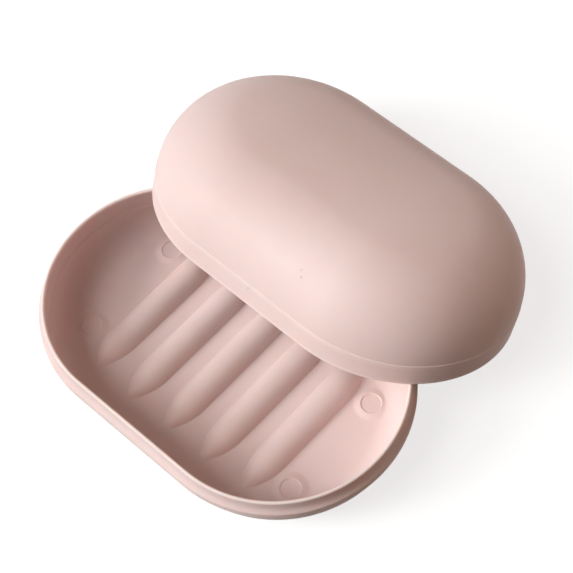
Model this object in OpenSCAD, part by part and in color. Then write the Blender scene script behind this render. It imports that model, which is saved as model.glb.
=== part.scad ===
// Travel soap box: an open tray with a ribbed floor, and a domed lid that lifts off.
// Millimetres, +Z up. The origin is on the table, below the middle of the whole.
// The lid lies taken off: it leans on the back of the rim, with its back edge on the table.

/* [Outline] */
// Length over the two rounded ends
box_l = 130; // [112:1:160]
// Width, and the diameter of the half-round ends
box_w = 84.6; // [76:0.2:100]

/* [Walls] */
// Thickness of the moulded wall, in tray and lid alike
wall = 1.4; // [1.2:0.1:2]
// Play between the lip of the tray and the skirt of the closed lid, on each side
fit_gap = 0.2; // [0.1:0.05:0.4]

/* [Tray] */
// Height of the rim above the table
tray_h = 23.6; // [22:0.1:30]
// Height of the underside of the floor above the table
foot_h = 2.6; // [1.5:0.1:3.2]
// Inside radius where the wall runs into the floor
bowl_r = 9.5; // [6:0.5:10]
// Height of the upright lip that the lid slips over
lip_h = 1.2; // [0.8:0.1:2]
// Height of the sloping seat below the lip
seat_h = 3.6; // [2.5:0.1:4.5]
// Height of the outer flange below the seat
flange_h = 2.8; // [2:0.1:3.4]
// Rounding of the flange's lower edge
flange_round = 0.6; // [0.3:0.1:0.9]
// Height of the upright band inside, below the rim
band_h = 7.9; // [5:0.1:9]
// Ledge inside, at the foot of that band
band_step = 0.25; // [0.1:0.05:0.4]

/* [Ribs] */
// Number of ribs across the floor
rib_count = 5; // [3:1:5]
// Distance from rib to rib
rib_pitch = 16.1; // [14:0.1:17]
// Width of a rib where it meets the floor
rib_w = 10.4; // [9:0.2:12]
// Height of a rib above the floor
rib_h = 4; // [2.5:0.25:4.5]
// Radius of the crest where it runs down to the floor at the end of a rib
rib_end_r = 22; // [8:0.5:24]
// Flat floor left between the end of a rib and the bowl
rib_end_gap = 0.7; // [0.2:0.1:3]

/* [Feet] */
// Radius of a foot
foot_r = 4.2; // [3:0.1:4.8]
// Direction of a foot from the centre of its rounded end, in degrees from the long axis
foot_angle = 42; // [32:1:52]
// Distance of a foot's centre inside the edge of the flat floor
foot_inset = 1.8; // [1:0.1:4]
// Radius of the soft pad that stands above each foot, inside the tray
pad_r = 5.5; // [4.8:0.1:6]
// Height of that pad, as if it had no dish
pad_h = 1; // [0.7:0.1:1.3]
// Radius of the flat dish in the pad
dish_r = 3.3; // [2.4:0.1:3.8]
// Depth of the dish below the crest of the pad
dish_depth = 0.3; // [0.2:0.05:0.4]

/* [Lid] */
// Height of the upright skirt
skirt_h = 7.9; // [5:0.1:12]
// How far the skirt stands proud of the dome
skirt_step = 0.15; // [0.1:0.05:0.5]
// Radius of the shoulder
shoulder_r = 26.5; // [14:0.5:30]
// Rise of the crowned top above the shoulder
crown_h = 1.15; // [0.4:0.05:4]
// Rounding of the lid's lower outer edge
edge_round = 0.4; // [0.2:0.1:0.7]

/* [Lid taken off] */
// How far the middle of the lid lies behind the middle of the tray
lean_back = 50.2; // [46:0.1:60]
// How far it lies to the side
lean_side = 0.3; // [-3:0.1:3]
// Gap that keeps the lid's edge just clear of the rim
lean_gap = 0.15; // [0.05:0.05:0.6]

/* [Hidden] */
$fn = 96;
pink = [0.91, 0.78, 0.75];

end_r = box_w / 2;
half_straight = box_l / 2 - end_r;
over = 1;

lip_out = end_r - wall - fit_gap;
lip_t = wall - band_step;
bowl_in = lip_out - wall;
floor_top = foot_h + wall;
bowl_z = floor_top + bowl_r;
floor_edge = bowl_in - bowl_r;
seat_z = tray_h - lip_h;
flange_z = seat_z - seat_h;
band_z = max(tray_h - band_h, bowl_z + band_step);

rib_radius = (rib_w * rib_w / 4 + rib_h * rib_h) / (2 * rib_h);
rib_axis_z = floor_top + rib_h - rib_radius;
rib_tip = 0.5;
rib_reach = sqrt(rib_end_r * rib_end_r - (rib_end_r - rib_h) * (rib_end_r - rib_h));
pad_radius = (pad_r * pad_r + pad_h * pad_h) / (2 * pad_h);
pad_crest = pad_h - pad_radius + sqrt(pad_radius * pad_radius - dish_r * dish_r);
foot_bevel = 0.5;
foot_reach = floor_edge - foot_inset;

lid_h = skirt_h + shoulder_r + crown_h;
shoulder_x = end_r - shoulder_r;
crown_rise = shoulder_r + crown_h;
crown_radius = (shoulder_x * shoulder_x + crown_rise * crown_rise - shoulder_r * shoulder_r) / (2 * crown_h);
crown_z = lid_h - crown_radius;
shoulder_turn = atan2(skirt_h - crown_z, shoulder_x);

// The edge of the leaning lid clears the rim where the two outlines cross, and stands on the table.
function lean_at(steps) = steps == 0 ? 15 : let (c = cos(lean_at(steps - 1)))
    asin((tray_h + lean_gap - edge_round * (1 - c)) / (end_r - edge_round + lean_back / (1 + c)));
lean = lean_at(8);
lid_z = (end_r - edge_round) * sin(lean) + edge_round * (1 - cos(lean));

// A lid that lies to the side is turned a little, so that both ends of the rim carry it.
cross_y = lean_back / (1 + cos(lean));
cross_x = sqrt(end_r * end_r - cross_y * cross_y);
turn_arm = cross_x + half_straight - half_straight / (1 + cos(lean));
lean_turn = -asin(lean_side * cross_x / lean_back / turn_arm);

// Where the back of the leaning lid ends, from the middle of the tray.
lid_back = lean_back + shoulder_x * cos(lean) + skirt_h * sin(lean) + shoulder_r - skirt_step;
middle_y = (lid_back - end_r) / 2;

// Half the length of the flat floor across the box, at a distance x from the middle.
function floor_half(x) = abs(x) <= half_straight
    ? floor_edge
    : sqrt(floor_edge * floor_edge - (abs(x) - half_straight) * (abs(x) - half_straight));

// Carries a section round the outline: straight sides, and a half turn at each end.
// In the section, x runs outwards from the middle line and y runs up.
module around() {
    rotate([90, 0, 90])
        translate([0, 0, -half_straight])
            linear_extrude(2 * half_straight) {
                children();
                mirror([1, 0]) children();
            }
    for (side = [-1, 1])
        translate([side * half_straight, 0, 0])
            rotate([0, 0, -90 * side])
                rotate_extrude(angle = 180) children();
}

// A rectangle from the middle line, between two heights.
module slab(x, z0, z1) {
    translate([0, z0]) square([x, z1 - z0]);
}

// The flange with its rounded lower edge, and the slope above it that carries the lid.
module flange_section() {
    low = flange_z - flange_h;
    slab(end_r - flange_round, low, flange_z);
    slab(end_r, low + flange_round, flange_z);
    translate([end_r - flange_round, low + flange_round]) circle(flange_round);
    polygon([
        [bowl_in, low + flange_round],
        [end_r, low + flange_round],
        [end_r, flange_z],
        [lip_out, seat_z],
        [bowl_in, seat_z]
    ]);
}

// The lower part of a bowl: a flat floor that a quarter circle joins to the wall.
module bowl_section(r) {
    slab(floor_edge, bowl_z - r, bowl_z);
    intersection() {
        translate([floor_edge, bowl_z]) circle(r);
        translate([floor_edge, bowl_z - r - over]) square([r + over, r + over]);
    }
}

module tray_section() {
    difference() {
        union() {
            slab(lip_out, bowl_z, tray_h - lip_t / 2);
            flange_section();
            bowl_section(bowl_r + wall);
        }
        slab(bowl_in, bowl_z, band_z);
        slab(bowl_in + band_step, band_z, tray_h);
        bowl_section(bowl_r);
    }
    translate([lip_out - lip_t / 2, tray_h - lip_t / 2])
        intersection() {
            circle(lip_t / 2);
            translate([-lip_t, 0]) square([2 * lip_t, lip_t]);
        }
}

// A rib as a round bar along Y with tapered ends, drawn in by an inset. Its lower half goes into the floor.
module rib_bar(inset, half) {
    r = rib_radius - inset;
    tip = half + sqrt(pow(rib_end_r - inset, 2) - pow(rib_end_r - rib_radius + rib_tip, 2));
    rotate([90, 0, 0])
        rotate_extrude()
            intersection() {
                union() {
                    translate([0, -half]) square([r, 2 * half]);
                    for (end = [-half, half])
                        translate([rib_radius - rib_end_r, end]) circle(rib_end_r - inset);
                }
                translate([0, -tip]) square([r, 2 * tip]);
            }
}

// Places the children on each rib's line and passes on half the length of its straight part.
module at_ribs() {
    for (i = [0 : rib_count - 1]) {
        x = (i - (rib_count - 1) / 2) * rib_pitch;
        $half = floor_half(x) - rib_end_gap - rib_reach;
        translate([x, 0, rib_axis_z]) children();
    }
}

module ribs() {
    intersection() {
        at_ribs() rib_bar(0, $half);
        translate([-box_l / 2, -end_r, foot_h + wall / 2]) cube([box_l, box_w, tray_h]);
    }
}

// The hollow below a rib, which keeps its wall as thick as the floor.
module rib_cores() {
    at_ribs() rib_bar(wall, $half);
}

module at_feet() {
    for (sx = [-1, 1], sy = [-1, 1])
        translate([
            sx * (half_straight + foot_reach * cos(foot_angle)),
            sy * foot_reach * sin(foot_angle),
            0
        ]) children();
}

module foot() {
    cylinder(h = foot_bevel, r1 = foot_r - foot_bevel, r2 = foot_r);
    translate([0, 0, foot_bevel]) cylinder(h = floor_top - foot_bevel, r = foot_r);
}

module pad() {
    translate([0, 0, floor_top - wall / 2])
        rotate_extrude()
            intersection() {
                translate([0, pad_h + wall / 2 - pad_radius]) circle(pad_radius);
                square([pad_r, pad_h + wall / 2]);
            }
}

module dish() {
    translate([0, 0, floor_top + pad_crest - dish_depth]) cylinder(h = pad_h, r = dish_r);
}

module tray() {
    color(pink)
        translate([0, -middle_y, 0])
            difference() {
                union() {
                    around() tray_section();
                    ribs();
                    at_feet() foot();
                    at_feet() pad();
                }
                rib_cores();
                at_feet() dish();
            }
}

// The dome above the skirt, drawn in by an inset: a shoulder that runs into the crown.
module dome_section(inset) {
    reach = [cos(shoulder_turn), sin(shoulder_turn)] * (shoulder_r + over);
    centre = [shoulder_x, skirt_h];
    intersection() {
        translate(centre) circle(shoulder_r - inset);
        slab(end_r, 0, lid_h);
    }
    intersection() {
        translate([0, crown_z]) circle(crown_radius - inset, $fn = 720);
        polygon([[0, 0], [shoulder_x, 0], centre, centre + reach, [0, lid_h + over]]);
    }
}

module lid_section() {
    difference() {
        union() {
            slab(end_r, edge_round, skirt_h);
            slab(end_r - edge_round, 0, skirt_h);
            translate([end_r - edge_round, edge_round]) circle(edge_round);
            dome_section(skirt_step);
        }
        slab(end_r - wall, -over, skirt_h);
        dome_section(wall);
    }
}

module lid() {
    color(pink)
        translate([lean_side, lean_back - middle_y, lid_z])
            rotate([-lean, 0, lean_turn])
                around() lid_section();
}

tray();
lid();
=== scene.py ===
# Travel soap box, dressed for a product shot: ribbed tray in front, lid leaning on its back rim.
import math

import bmesh
import bpy
from mathutils import Matrix, Vector
from mathutils.geometry import delaunay_2d_cdt


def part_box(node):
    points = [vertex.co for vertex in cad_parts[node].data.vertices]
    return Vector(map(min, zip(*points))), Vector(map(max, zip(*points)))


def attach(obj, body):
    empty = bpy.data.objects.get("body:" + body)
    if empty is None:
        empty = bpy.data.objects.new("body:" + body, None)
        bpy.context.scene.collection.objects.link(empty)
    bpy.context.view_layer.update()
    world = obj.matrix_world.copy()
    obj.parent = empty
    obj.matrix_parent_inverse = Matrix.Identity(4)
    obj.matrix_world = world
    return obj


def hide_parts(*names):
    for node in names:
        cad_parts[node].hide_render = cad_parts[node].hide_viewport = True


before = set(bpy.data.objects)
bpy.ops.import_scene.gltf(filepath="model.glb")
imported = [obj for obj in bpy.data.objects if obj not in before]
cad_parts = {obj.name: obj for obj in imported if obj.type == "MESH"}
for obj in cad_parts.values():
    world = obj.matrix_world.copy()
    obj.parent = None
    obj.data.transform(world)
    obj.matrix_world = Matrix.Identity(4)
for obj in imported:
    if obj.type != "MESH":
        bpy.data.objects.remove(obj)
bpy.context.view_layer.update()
mm = 0.001


# Camera: where it looks, from which side, and how far away
cameraLook = {
    "target": (2.481, 0.905, 20.0),   # mm
    "side": 48.401,                   # degrees to the right of the front
    "above": 59.956,                  # degrees above the table
    "roll": -7.175,                   # degrees
    "distance": 504.61,               # mm
    "frameWidth": 573.0,              # pixels across the picture
    "focalPixels": 1607.28,
    "centrePixels": (287.988, 287.663),
    "sensor": 36.0,                   # mm
}


def buildCamera(look):
    side = math.radians(look["side"])
    above = math.radians(look["above"])
    roll = math.radians(look["roll"])
    level = math.cos(above)
    forward = Vector((-math.sin(side) * level, math.cos(side) * level, -math.sin(above)))
    right = forward.cross(Vector((0, 0, 1))).normalized()
    up = right.cross(forward)
    tiltedRight = right * math.cos(roll) + up * math.sin(roll)
    tiltedUp = up * math.cos(roll) - right * math.sin(roll)
    data = bpy.data.cameras.new("productCamera")
    camera = bpy.data.objects.new("productCamera", data)
    bpy.context.scene.collection.objects.link(camera)
    place = (Vector(look["target"]) - forward * look["distance"]) * mm
    turned = Matrix((tiltedRight, tiltedUp, -forward)).transposed().to_4x4()
    camera.matrix_world = Matrix.Translation(place) @ turned
    width = look["frameWidth"]
    data.sensor_width = look["sensor"]
    data.lens = look["focalPixels"] / width * look["sensor"]
    data.shift_x = (width / 2 - look["centrePixels"][0]) / width
    data.shift_y = (look["centrePixels"][1] - width / 2) / width
    data.clip_start = 0.01
    bpy.context.scene.camera = camera


buildCamera(cameraLook)
print("camera ready")


# How finely the outline of both halves is stepped
outlineSteps = {
    "turn": 72,      # steps round each half turn
    "straight": 14,  # steps along each straight side
}


def outlineStations(half):
    # each station is a point on the middle line and the direction from it to the outline
    straight = outlineSteps["straight"]
    turn = outlineSteps["turn"]
    along = [half * (2 * step / straight - 1) for step in range(straight + 1)]
    stations = [(x, 0.0, -1.0) for x in along]
    for step in range(1, turn):
        angle = math.pi * (step / turn - 0.5)
        stations.append((half, math.cos(angle), math.sin(angle)))
    stations += [(-x, 0.0, 1.0) for x in along]
    for step in range(1, turn):
        angle = math.pi * (step / turn + 0.5)
        stations.append((-half, math.cos(angle), math.sin(angle)))
    return stations


# edge: how much painted edge highlight the arc's points get
def arc(centre, radius, start, end, steps, edge=0.0):
    points = []
    for step in range(steps + 1):
        angle = math.radians(start + (end - start) * step / steps)
        points.append((centre[0] + radius * math.cos(angle), centre[1] + radius * math.sin(angle), edge))
    return points


def sweep(bm, stations, section):
    # carries the section's points (distance from the middle line, height, share of painted edge highlight)
    # round the outline
    edgeHighlightShare = bm.verts.layers.float["edge"]
    rings = []
    for distance, height, edge in section:
        ring = []
        for x, nx, ny in stations:
            vert = bm.verts.new((x + nx * distance, ny * distance, height))
            vert[edgeHighlightShare] = edge
            ring.append(vert)
        rings.append(ring)
    count = len(stations)
    for lower, upper in zip(rings, rings[1:]):
        for i in range(count):
            j = (i + 1) % count
            bm.faces.new((lower[i], lower[j], upper[j], upper[i]))


def reachFromMiddle(x, y, half):
    return math.hypot(max(abs(x) - half, 0.0), y)


def smoothMax(a, b, blend):
    share = max(blend - abs(a - b), 0.0) / blend
    return max(a, b) + share * share * blend / 4


def laySheet(bm, loops, lines, heightAt):
    # a sheet whose edges follow the loops and lines on the plan, lifted to the height of each point
    points, edges = [], []
    for closed, group in ((True, loops), (False, lines)):
        for path in group:
            first = len(points)
            points += [Vector(point) for point in path]
            last = len(path) if closed else len(path) - 1
            edges += [(first + i, first + (i + 1) % len(path)) for i in range(last)]
    found = delaunay_2d_cdt(points, edges, [], 0, 1e-4)
    edgeHighlightShare = bm.verts.layers.float["edge"]
    verts = []
    for x, y in found[0]:
        vert = bm.verts.new((x, y, heightAt(x, y)))
        vert[edgeHighlightShare] = 0.0
        verts.append(vert)
    for face in found[2]:
        bm.faces.new([verts[i] for i in face])


def circlePath(centre, radius, steps=48):
    turns = [2 * math.pi * step / steps for step in range(steps)]
    return [(centre[0] + radius * math.cos(turn), centre[1] + radius * math.sin(turn)) for turn in turns]


# How a finished mesh is cleaned and shaded
meshFinish = {
    "joinWithin": 0.003,   # mm, points nearer than this become one
    "dropBelow": 0.0005,   # mm, shorter edges go
    "normalWeight": 60,    # how far large faces rule the shading
}


def finishMesh(bm, name, place, body, node, material):
    bmesh.ops.remove_doubles(bm, verts=bm.verts, dist=meshFinish["joinWithin"])
    bmesh.ops.dissolve_degenerate(bm, edges=bm.edges, dist=meshFinish["dropBelow"])
    bmesh.ops.recalc_face_normals(bm, faces=bm.faces)
    bmesh.ops.transform(bm, matrix=place, verts=bm.verts)
    bmesh.ops.scale(bm, vec=(mm, mm, mm), verts=bm.verts)
    mesh = bpy.data.meshes.new(name)
    bm.to_mesh(mesh)
    bm.free()
    mesh.shade_smooth()
    mesh.materials.append(material)
    piece = bpy.data.objects.new(name, mesh)
    bpy.context.scene.collection.objects.link(piece)
    weighted = piece.modifiers.new("weightedNormals", "WEIGHTED_NORMAL")
    weighted.weight = meshFinish["normalWeight"]
    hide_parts(node)
    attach(piece, body)
    return piece


# Pink moulded plastic, matt with a fine grain
plasticLook = {
    "paleColour": (0.81, 0.645, 0.622),  # where the skin of the moulding is palest
    "deepColour": (0.78, 0.605, 0.576),  # where the colour lies a little deeper
    "edgeHighlightColour": (0.90, 0.76, 0.72),    # painted highlight on rims and thin edges, standing in for light caught on them and let through
    "gloss": 0.22,         # strength of the sheen
    "roughness": 0.5,
    "roughSpread": 0.08,
    "mottle": 28.0,        # per metre
    "grain": 3200.0,       # per metre
    "grainDepth": 0.006,   # mm
    "ripple": 90.0,        # per metre, slow unevenness of the skin
    "rippleDepth": 0.02,   # mm
    "specks": 420.0,       # per metre, dust and pin holes
    "speckSize": 0.045,    # share of the room between specks
    "speckShare": 0.12,    # how strongly they show
    "speckColour": (0.95, 0.9, 0.88),
    "bleed": 0.3,          # share of light that scatters inside
    "bleedRadius": (1.0, 0.5, 0.36),  # red light goes deepest
    "bleedDepth": 1.6,     # mm
}


# Small moulding marks on the lid: place, width and height in mm
lidMarks = (
    ((-0.18, -13.01, 35.69), 1.5, 0.3),  # gate nick on the line above the skirt
    ((13.91, -3.28, 48.94), 1.0, 0.2),   # two pimples on the front shoulder
    ((15.05, -4.64, 47.88), 1.0, 0.2),
)


def plasticMaterial(name, look, seed, marks=()):
    material = bpy.data.materials.new(name)
    material.use_nodes = True
    tree = material.node_tree
    links = tree.links
    shader = tree.nodes["Principled BSDF"]

    def add(kind, **settings):
        node = tree.nodes.new(kind)
        for key, value in settings.items():
            setattr(node, key, value)
        return node

    def noise(scale, detail):
        node = add("ShaderNodeTexNoise", noise_dimensions="4D")
        node.inputs["Scale"].default_value = scale
        node.inputs["Detail"].default_value = detail
        node.inputs["W"].default_value = seed
        links.new(place.outputs["Object"], node.inputs["Vector"])
        return node.outputs["Fac"]

    def span(value, low, high):
        node = add("ShaderNodeMapRange")
        node.inputs["From Min"].default_value = 0.3
        node.inputs["From Max"].default_value = 0.7
        node.inputs["To Min"].default_value = low
        node.inputs["To Max"].default_value = high
        links.new(value, node.inputs["Value"])
        return node.outputs["Result"]

    def bump(height, depth, below=None):
        node = add("ShaderNodeBump")
        node.inputs["Strength"].default_value = 1.0
        node.inputs["Distance"].default_value = depth * mm
        links.new(height, node.inputs["Height"])
        if below:
            links.new(below, node.inputs["Normal"])
        return node.outputs["Normal"]

    place = add("ShaderNodeTexCoord")
    mottle = add("ShaderNodeMix", data_type="RGBA")
    mottle.inputs["A"].default_value = (*look["deepColour"], 1)
    mottle.inputs["B"].default_value = (*look["paleColour"], 1)
    links.new(span(noise(look["mottle"], 3.0), 0.0, 1.0), mottle.inputs["Factor"])

    # painted highlight: the edge share makes rims and thin edges paler, standing in for light caught and
    # let through there
    edgeHighlightShare = add("ShaderNodeAttribute", attribute_name="edge")
    rim = add("ShaderNodeMix", data_type="RGBA")
    rim.inputs["B"].default_value = (*look["edgeHighlightColour"], 1)
    links.new(edgeHighlightShare.outputs["Fac"], rim.inputs["Factor"])
    links.new(mottle.outputs["Result"], rim.inputs["A"])

    specks = add("ShaderNodeTexVoronoi", voronoi_dimensions="4D")
    specks.inputs["Scale"].default_value = look["specks"]
    specks.inputs["W"].default_value = seed
    links.new(place.outputs["Object"], specks.inputs["Vector"])
    speckSize = add("ShaderNodeMath", operation="LESS_THAN")
    speckSize.inputs[1].default_value = look["speckSize"]
    links.new(specks.outputs["Distance"], speckSize.inputs[0])
    speckShare = add("ShaderNodeMath", operation="MULTIPLY")
    speckShare.inputs[1].default_value = look["speckShare"]
    links.new(speckSize.outputs["Value"], speckShare.inputs[0])
    dusted = add("ShaderNodeMix", data_type="RGBA")
    dusted.inputs["B"].default_value = (*look["speckColour"], 1)
    links.new(speckShare.outputs["Value"], dusted.inputs["Factor"])
    links.new(rim.outputs["Result"], dusted.inputs["A"])
    links.new(dusted.outputs["Result"], shader.inputs["Base Color"])

    low = look["roughness"] - look["roughSpread"]
    high = look["roughness"] + look["roughSpread"]
    links.new(span(noise(look["ripple"] * 4, 4.0), low, high), shader.inputs["Roughness"])

    ripple = bump(noise(look["ripple"], 2.0), look["rippleDepth"])
    surface = bump(noise(look["grain"], 3.0), look["grainDepth"], ripple)
    for spot, width, height in marks:
        away = add("ShaderNodeVectorMath", operation="DISTANCE")
        away.inputs[1].default_value = [value * mm for value in spot]
        links.new(place.outputs["Object"], away.inputs[0])
        rise = add("ShaderNodeMapRange", interpolation_type="SMOOTHSTEP")
        rise.inputs["From Max"].default_value = width / 2 * mm
        rise.inputs["To Min"].default_value = 1.0
        rise.inputs["To Max"].default_value = 0.0
        links.new(away.outputs["Value"], rise.inputs["Value"])
        surface = bump(rise.outputs["Result"], height, surface)
    links.new(surface, shader.inputs["Normal"])

    shader.inputs["IOR"].default_value = 1.49
    shader.inputs["Specular IOR Level"].default_value = look["gloss"]
    shader.inputs["Subsurface Weight"].default_value = look["bleed"]
    shader.inputs["Subsurface Radius"].default_value = look["bleedRadius"]
    shader.inputs["Subsurface Scale"].default_value = look["bleedDepth"] * mm
    return material


trayPlastic = plasticMaterial("trayPlastic", plasticLook, 1.7)
lidPlastic = plasticMaterial("lidPlastic", plasticLook, 6.4, lidMarks)
print("materials ready")


# Tray: sizes in mm, as in the mould
traySizes = {
    "wall": 1.4,
    "play": 0.2,          # between lip and closed lid
    "footHeight": 2.6,
    "bowlRadius": 9.5,
    "lipHeight": 1.2,
    "seatHeight": 3.6,    # slope below the lip that carries the lid
    # the slope is slightly hollow: shares of its way out and of its way down
    "seatHollow": ((0.1, 0.22), (0.2, 0.42), (0.36, 0.62), (0.58, 0.78), (0.8, 0.9), (0.95, 0.97)),
    "flangeHeight": 2.8,
    "flangeRound": 0.6,
    "bandHeight": 7.9,    # upright band inside
    "bandStep": 0.25,     # ledge at the foot of that band
    "fillet": 0.2,
    "sheetTurn": 30.0,    # degrees of the bowl's curve that belong to the floor sheet
    "ribCount": 5,
    "ribPitch": 16.1,
    "ribWidth": 10.4,
    "ribHeight": 4.0,
    "ribEndRadius": 22.0,
    "ribEndGap": 0.7,
    "ribBlend": 0.5,
    "footRadius": 4.2,
    "footBevel": 0.5,
    "footAngle": 42.0,    # degrees
    "footInset": 1.8,
    "padRadius": 5.5,
    "padHeight": 1.0,
    "padBlend": 0.3,
    "dishRadius": 3.3,
    "dishDepth": 0.3,
}

trayLow, trayHigh = [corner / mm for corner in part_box("tray")]
endRadius = (trayHigh.y - trayLow.y) / 2
halfStraight = (trayHigh.x - trayLow.x) / 2 - endRadius
trayMiddle = Vector(((trayLow.x + trayHigh.x) / 2, (trayLow.y + trayHigh.y) / 2, 0))


class RibShape:
    # a rib as a round bar with tapered ends; an inset draws it in for the hollow below
    def __init__(self, size, inset):
        width, height = size["ribWidth"], size["ribHeight"]
        self.full = (width * width / 4 + height * height) / (2 * height)
        self.axisBelowFloor = self.full - height
        self.endRadius = size["ribEndRadius"] - inset
        self.endCentre = size["ribEndRadius"] - self.full
        self.radius = self.full - inset

    def reach(self, level):
        # how far past the straight part the bar still reaches a level above its axis
        return math.sqrt(self.endRadius ** 2 - (self.endCentre + level) ** 2)

    def radiusAt(self, past):
        if past <= 0:
            return self.radius
        return math.sqrt(max(self.endRadius ** 2 - past * past, 0.0)) - self.endCentre

    def levelAt(self, x, past):
        # height above the axis, or 0 outside the bar
        radius = max(self.radiusAt(past), 0.0)
        return math.sqrt(max(radius * radius - x * x, 0.0))

    def outline(self, middle, half, level, grow=0.0):
        side = []
        reach = self.reach(level)
        for step in range(13):
            turn = math.pi / 2 * step / 12
            past = reach * math.sin(turn)
            radius = self.radiusAt(past)
            width = math.sqrt(max(radius * radius - level * level, 0.0))
            side.append((width + grow * math.cos(turn), half + past + grow * math.sin(turn)))
        rows = max(int(half / 2), 2)
        straight = [(side[0][0], half * (2 * row / rows - 1)) for row in range(1, rows)]
        right = [(x, -y) for x, y in reversed(side)] + straight + side
        left = [(-x, -y) for x, y in right[1:-1]]
        return [(middle + x, y) for x, y in right + left]


def ribRows(size, floorEdge, shape):
    # the middle and the half length of each rib's straight part
    rows = []
    for i in range(size["ribCount"]):
        x = (i - (size["ribCount"] - 1) / 2) * size["ribPitch"]
        out = max(abs(x) - halfStraight, 0.0)
        half = math.sqrt(floorEdge ** 2 - out ** 2) - size["ribEndGap"] - shape.reach(shape.axisBelowFloor)
        rows.append((x, half))
    return rows


def footPlaces(size, floorEdge):
    reach = floorEdge - size["footInset"]
    angle = math.radians(size["footAngle"])
    x = halfStraight + reach * math.cos(angle)
    y = reach * math.sin(angle)
    return [(sx * x, sy * y) for sx in (-1, 1) for sy in (-1, 1)]


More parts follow.
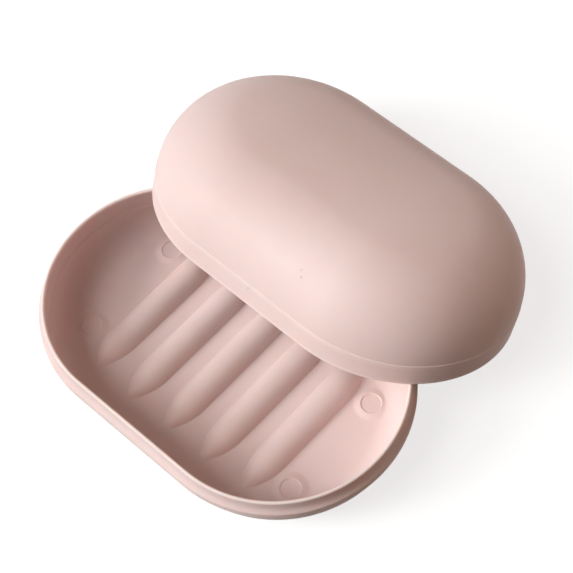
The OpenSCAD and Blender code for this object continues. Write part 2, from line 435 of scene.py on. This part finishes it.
def buildTray(size, material):
    wall = size["wall"]
    rim = trayHigh.z
    lipOut = endRadius - wall - size["play"]
    lipThick = wall - size["bandStep"]
    bowlIn = lipOut - wall
    floorTop = size["footHeight"] + wall
    bowlZ = floorTop + size["bowlRadius"]
    floorEdge = bowlIn - size["bowlRadius"]
    seat = rim - size["lipHeight"]
    flangeTop = seat - size["seatHeight"]
    flangeLow = flangeTop - size["flangeHeight"]
    band = rim - size["bandHeight"]
    turn = size["sheetTurn"]
    fillet = size["fillet"]
    roundOff = size["flangeRound"]
    lipCentre = (lipOut - lipThick / 2, rim - lipThick / 2)
    bowlCentre = (floorEdge, bowlZ)
    outerRadius = size["bowlRadius"] + wall
    step = size["bandStep"]

    # the third number of each point is its share of painted edge highlight
    section = arc(bowlCentre, size["bowlRadius"], turn - 90, 0, 12)
    upright = bowlIn + step
    section += [(bowlIn, band - 0.2, 0.1), (bowlIn + 0.06, band, 0.2), (upright - 0.06, band + 0.02, 0.1)]
    section += [(upright, band + 0.15, 0.0), (upright, band + 1.5, 0.0), (upright, rim - 1.6, 0.0)]
    section += arc(lipCentre, lipThick / 2, 180, 0, 14, 0.8)
    section += [(lipOut, seat + 0.25, 0.0), (lipOut + 0.03, seat, 0.0), (lipOut + 0.12, seat - 0.25, 0.0)]
    proud = endRadius - lipOut
    for out, down in size["seatHollow"]:
        section.append((lipOut + proud * out, seat - size["seatHeight"] * down, 0.0))
    section += [(endRadius, flangeTop - 0.25, 0.1)]
    section += arc((endRadius - roundOff, flangeLow + roundOff), roundOff, 0, -90, 8, 0.3)
    section += arc((lipOut + fillet, flangeLow - fillet), fillet, 90, 180, 4)
    section += arc(bowlCentre, outerRadius, 0, turn - 90, 14)

    bm = bmesh.new()
    bm.verts.layers.float.new("edge")
    stations = outlineStations(halfStraight)
    sweep(bm, stations, section)

    def ringPath(distance):
        return [(x + nx * distance, ny * distance) for x, nx, ny in stations]

    turns = [math.radians(turn * i / 6) for i in range(7)]
    rib = RibShape(size, 0.0)
    rows = ribRows(size, floorEdge, rib)
    feet = footPlaces(size, floorEdge)
    capRadius = (size["padRadius"] ** 2 + size["padHeight"] ** 2) / (2 * size["padHeight"])

    def capHeight(reach):
        return size["padHeight"] - capRadius + math.sqrt(capRadius ** 2 - min(reach, capRadius * 0.9) ** 2)

    dish = size["dishRadius"]
    dishTop = capHeight(dish)
    dishFloor = dishTop - size["dishDepth"]

    def bowlRise(x, y, radius):
        out = max(reachFromMiddle(x, y, halfStraight) - floorEdge, 0.0)
        return radius - math.sqrt(radius * radius - out * out)

    def nearestFoot(x, y):
        return min(math.hypot(x - fx, y - fy) for fx, fy in feet)

    def insideHeight(x, y):
        height = bowlRise(x, y, size["bowlRadius"])
        for middle, half in rows:
            level = rib.levelAt(x - middle, abs(y) - half) - rib.axisBelowFloor
            height = smoothMax(height, level, size["ribBlend"])
        reach = nearestFoot(x, y)
        if reach < dish - 0.12:
            return floorTop + dishFloor
        height = smoothMax(height, capHeight(reach), size["padBlend"])
        if reach < dish + 0.1:
            share = (reach - dish + 0.12) / 0.22
            height = dishFloor + (height - dishFloor) * share * share * (3 - 2 * share)
        return floorTop + height

    loops = [ringPath(floorEdge + size["bowlRadius"] * math.sin(angle)) for angle in turns]
    lines = []
    levels = (-0.5, -0.3, -0.15, 0.0, 0.15, 0.3, 0.5, 0.85, 1.25, 1.7, 2.2, 2.7, 3.15, 3.5, 3.75, 3.92)
    for middle, half in rows:
        loops += [rib.outline(middle, half, rib.axisBelowFloor + level) for level in levels]
        lines.append([(middle, half * (2 * row / 10 - 1)) for row in range(11)])
    for foot in feet:
        for past in (-1.7, -0.3, -0.12, -0.06, 0.0, 0.05, 0.1, 0.25):
            loops.append(circlePath(foot, dish + past))
        for radius in (4.0, 4.5, 5.0, 5.4, 5.8, 6.3):
            loops.append(circlePath(foot, radius))
    laySheet(bm, loops, lines, insideHeight)

    core = RibShape(size, wall)
    axis = floorTop - core.axisBelowFloor

    def underHeight(x, y):
        height = size["footHeight"] + bowlRise(x, y, outerRadius)
        for middle, half in rows:
            level = core.levelAt(x - middle, abs(y) - half)
            if level > 0:
                height = max(height, axis + level)
        reach = nearestFoot(x, y)
        if reach < size["footRadius"] + 0.01:
            return max(0.0, reach - size["footRadius"] + size["footBevel"])
        return height

    loops = [ringPath(floorEdge + outerRadius * math.sin(angle)) for angle in turns]
    lines = []
    for middle, half in rows:
        loops.append(core.outline(middle, half, 0.04, grow=0.06))
        for level in (0.04, 0.5, 1.0, 1.5, 2.0, 2.5, 3.0, 3.35, 3.58):
            loops.append(core.outline(middle, half, level))
        lines.append([(middle, half * (2 * row / 10 - 1)) for row in range(11)])
    for foot in feet:
        for past in (-size["footBevel"], 0.0, 0.06):
            loops.append(circlePath(foot, size["footRadius"] + past))
    laySheet(bm, loops, lines, underHeight)

    place = Matrix.Translation(trayMiddle)
    return finishMesh(bm, "trayShell", place, "tray", "tray", material)


buildTray(traySizes, trayPlastic)
print("tray ready")


# Lid: sizes in mm, and where it lies
lidSizes = {
    "wall": 1.4,
    "skirtHeight": 7.9,
    "skirtStep": 0.15,
    "shoulderRadius": 26.5,
    "crownRise": 1.15,
    "edgeRound": 0.4,
    "back": 50.2,     # its middle behind the tray's
    "side": 0.3,
    "gap": 0.15,      # between its edge and the rim
}


def lidPlace(size):
    lean = math.radians(15)
    low = size["edgeRound"]
    for _ in range(8):
        c = math.cos(lean)
        rise = trayHigh.z + size["gap"] - low * (1 - c)
        lean = math.asin(rise / (endRadius - low + size["back"] / (1 + c)))
    crossY = size["back"] / (1 + math.cos(lean))
    crossX = math.sqrt(endRadius ** 2 - crossY ** 2)
    arm = crossX + halfStraight - halfStraight / (1 + math.cos(lean))
    turn = -math.asin(size["side"] * crossX / size["back"] / arm)
    height = (endRadius - low) * math.sin(lean) + low * (1 - math.cos(lean))
    spot = Matrix.Translation(trayMiddle + Vector((size["side"], size["back"], height)))
    return spot @ Matrix.Rotation(turn, 4, "Z") @ Matrix.Rotation(-lean, 4, "X")


def buildLid(size, material):
    wall = size["wall"]
    skirt = size["skirtHeight"]
    shoulder = size["shoulderRadius"]
    rise = shoulder + size["crownRise"]
    shoulderX = endRadius - shoulder
    crown = (shoulderX ** 2 + rise ** 2 - shoulder ** 2) / (2 * size["crownRise"])
    crownZ = skirt + rise - crown
    joint = math.degrees(math.atan2(skirt - crownZ, shoulderX))
    step = size["skirtStep"]
    low = size["edgeRound"]
    outer = endRadius - step

    # the third number of each point is its share of painted edge highlight
    section = [(0.0, skirt + rise - step, 0.0)]
    section += arc((0, crownZ), crown - step, 90 - (90 - joint) / 12, joint, 11)
    section += arc((shoulderX, skirt), shoulder - step, joint - 3, 1, 26)
    section += [(outer, skirt + 0.08, 0.0), (outer + 0.03, skirt + 0.01, 0.2)]
    section += arc((endRadius - 0.1, skirt - 0.1), 0.1, 90, 0, 4, 0.5)
    section += [(endRadius, skirt - 2, 0.0), (endRadius, low + 1.2, 0.0)]
    section += arc((endRadius - low, low), low, 0, -90, 7, 0.6)
    section += arc((endRadius - wall + 0.2, 0.2), 0.2, -90, -180, 4, 0.6)
    section += [(endRadius - wall, 1.5, 0.0), (endRadius - wall, skirt - 1, 0.0)]
    section += arc((shoulderX, skirt), shoulder - wall, 0, joint - 3, 24)
    section += arc((0, crownZ), crown - wall, joint, 90 - (90 - joint) / 12, 11)
    section += [(0.0, skirt + rise - wall, 0.0)]

    bm = bmesh.new()
    bm.verts.layers.float.new("edge")
    sweep(bm, outlineStations(halfStraight), section)
    return finishMesh(bm, "lidShell", lidPlace(size), "lid", "lid", material)


buildLid(lidSizes, lidPlastic)
print("lid ready")


# Studio: soft lamps, mostly from the front left, over a white ground
studioLook = {
    "lamps": (
        # name, from (degrees from +X towards +Y), above (degrees), strength, softness (degrees), colour
        ("keyLight", 235.0, 29.0, 2.4, 22.0, (0.97, 1.0, 1.0)),
        ("highKey", 250.0, 53.0, 1.08, 28.0, (1.0, 1.0, 1.0)),
        ("leftFill", 212.0, 52.0, 0.46, 40.0, (1.0, 0.96, 0.94)),
        ("backFill", 90.0, 14.0, 0.55, 50.0, (1.0, 0.88, 0.8)),
        ("rightFill", 32.0, 30.0, 0.4, 60.0, (1.0, 0.62, 0.42)),
    ),
    "roomColour": (1.0, 0.6, 0.4),
    "room": 0.04,
    "groundShade": 0.34,   # as the eye sees it
    "groundBounce": (0.14, 0.1, 0.08),  # as it lights the box
    "groundGlow": 0.76,
}


def sunLamp(name, fromSide, above, strength, softness, colour):
    data = bpy.data.lights.new(name, "SUN")
    data.energy = strength
    data.color = colour
    data.angle = math.radians(softness)
    lamp = bpy.data.objects.new(name, data)
    bpy.context.scene.collection.objects.link(lamp)
    side, up = math.radians(fromSide), math.radians(above)
    towards = Vector((math.cos(side) * math.cos(up), math.sin(side) * math.cos(up), math.sin(up)))
    lamp.rotation_mode = "QUATERNION"
    lamp.rotation_quaternion = towards.to_track_quat("Z", "Y")


def seenRay(tree):
    # 1 for rays that show the background itself: seen, mirrored or through something clear
    path = tree.nodes.new("ShaderNodeLightPath")
    total = path.outputs["Is Camera Ray"]
    for kind in ("Is Glossy Ray", "Is Transmission Ray"):
        either = tree.nodes.new("ShaderNodeMath")
        either.operation = "MAXIMUM"
        tree.links.new(total, either.inputs[0])
        tree.links.new(path.outputs[kind], either.inputs[1])
        total = either.outputs["Value"]
    return total


def whiteWorld(look):
    world = bpy.data.worlds.new("studio")
    bpy.context.scene.world = world
    world.use_nodes = True
    tree = world.node_tree
    room = tree.nodes["Background"]
    room.inputs["Color"].default_value = (*look["roomColour"], 1)
    room.inputs["Strength"].default_value = look["room"]
    white = tree.nodes.new("ShaderNodeBackground")
    white.inputs["Color"].default_value = (1, 1, 1, 1)
    white.inputs["Strength"].default_value = 1.0
    mix = tree.nodes.new("ShaderNodeMixShader")
    tree.links.new(seenRay(tree), mix.inputs["Fac"])
    tree.links.new(room.outputs["Background"], mix.inputs[1])
    tree.links.new(white.outputs["Background"], mix.inputs[2])
    tree.links.new(mix.outputs["Shader"], tree.nodes["World Output"].inputs["Surface"])


def groundMaterial(look):
    material = bpy.data.materials.new("paleGround")
    material.use_nodes = True
    tree = material.node_tree
    links = tree.links
    shader = tree.nodes["Principled BSDF"]
    shader.inputs["Roughness"].default_value = 0.9
    shader.inputs["Specular IOR Level"].default_value = 0.0
    seen = seenRay(tree)
    shade = tree.nodes.new("ShaderNodeMix")
    shade.data_type = "RGBA"
    shade.inputs["A"].default_value = (*look["groundBounce"], 1)
    shade.inputs["B"].default_value = (*[look["groundShade"]] * 3, 1)
    links.new(seen, shade.inputs["Factor"])
    links.new(shade.outputs["Result"], shader.inputs["Base Color"])
    glow = tree.nodes.new("ShaderNodeMath")
    glow.operation = "MULTIPLY"
    glow.inputs[1].default_value = look["groundGlow"]
    links.new(seen, glow.inputs[0])
    shader.inputs["Emission Color"].default_value = (1, 1, 1, 1)
    links.new(glow.outputs["Value"], shader.inputs["Emission Strength"])
    return material


def buildStudio(look):
    for lamp in look["lamps"]:
        sunLamp(*lamp)
    whiteWorld(look)
    mesh = bpy.data.meshes.new("ground")
    bm = bmesh.new()
    bmesh.ops.create_grid(bm, x_segments=8, y_segments=8, size=2.0)
    bm.to_mesh(mesh)
    bm.free()
    mesh.materials.append(groundMaterial(look))
    ground = bpy.data.objects.new("ground", mesh)
    bpy.context.scene.collection.objects.link(ground)
    bpy.context.scene.view_settings.view_transform = "Standard"


buildStudio(studioLook)
print("studio ready")
